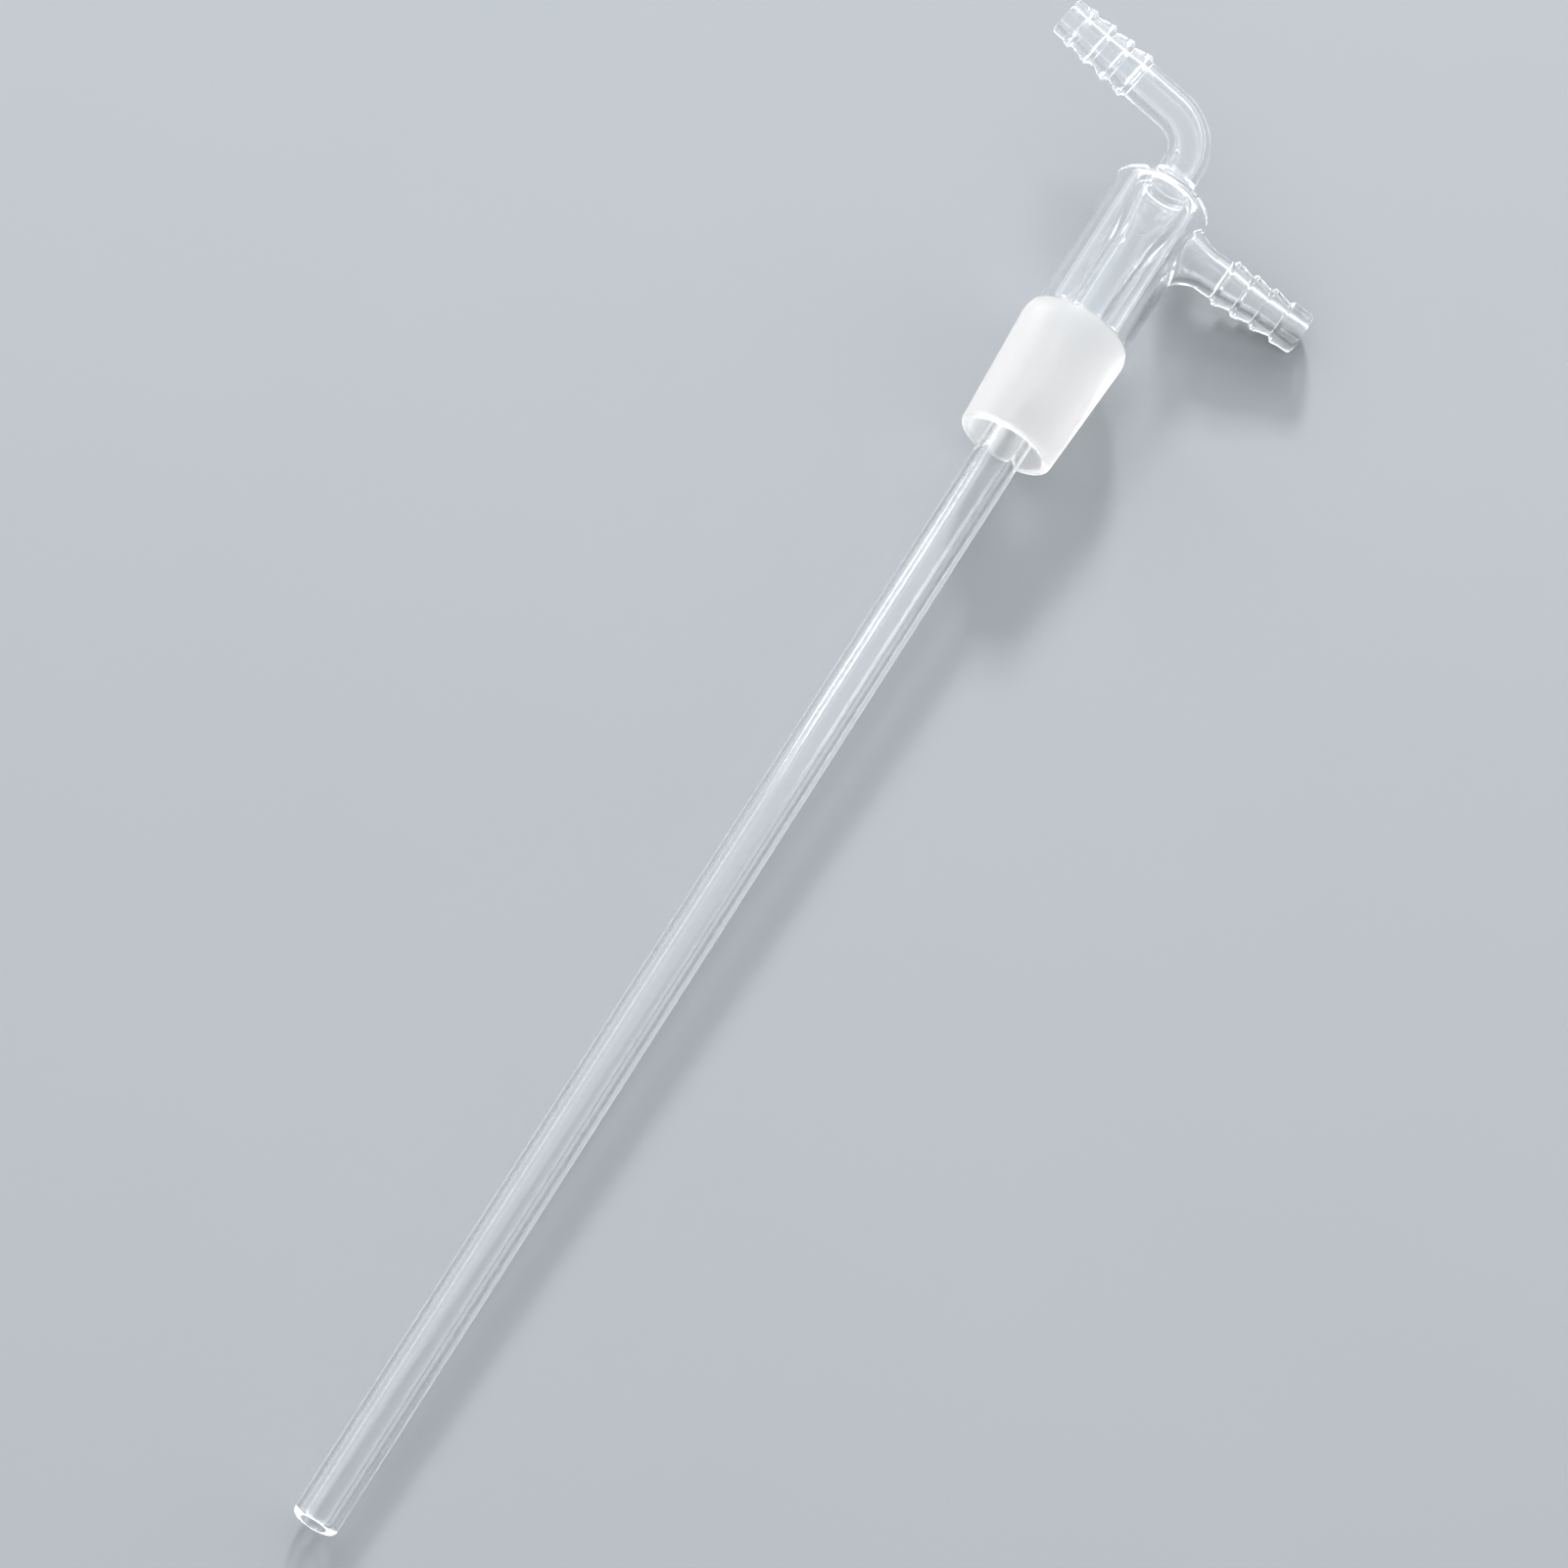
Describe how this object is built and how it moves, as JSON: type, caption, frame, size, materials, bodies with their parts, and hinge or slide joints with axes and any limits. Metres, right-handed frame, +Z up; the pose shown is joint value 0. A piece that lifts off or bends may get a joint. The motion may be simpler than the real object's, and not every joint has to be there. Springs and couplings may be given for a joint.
{
  "type": "gas inlet adapter with dip tube",
  "caption": "Glass gas inlet adapter: hollow ground cone, domed stem, bent top hose connection, side hose connection and a long dip tube held by a ring seal.",
  "frame": {"origin": "bottom centre of the box of the adapter lying on a flat surface", "axes": "+X along the glass from the dip tube's tip towards the bent connection, side arm towards -Y, +Z up from the surface"},
  "size_m": [0.363, 0.0778, 0.0253],
  "materials": {
    "clear_glass": "clear flame-polished borosilicate glass",
    "ground_glass": "fine-ground frosted borosilicate glass"
  },
  "bodies": {
    "root": {"ground_cone": "ground_glass", "stem_tube": "clear_glass", "shoulder_dome": "clear_glass", "ring_seal": "clear_glass", "dip_tube_funnel": "clear_glass", "dip_tube": "clear_glass", "inlet_bend": "clear_glass", "top_hose_barb": "clear_glass", "side_arm_root": "clear_glass", "side_hose_barb": "clear_glass"}
  },
  "joints": []
}
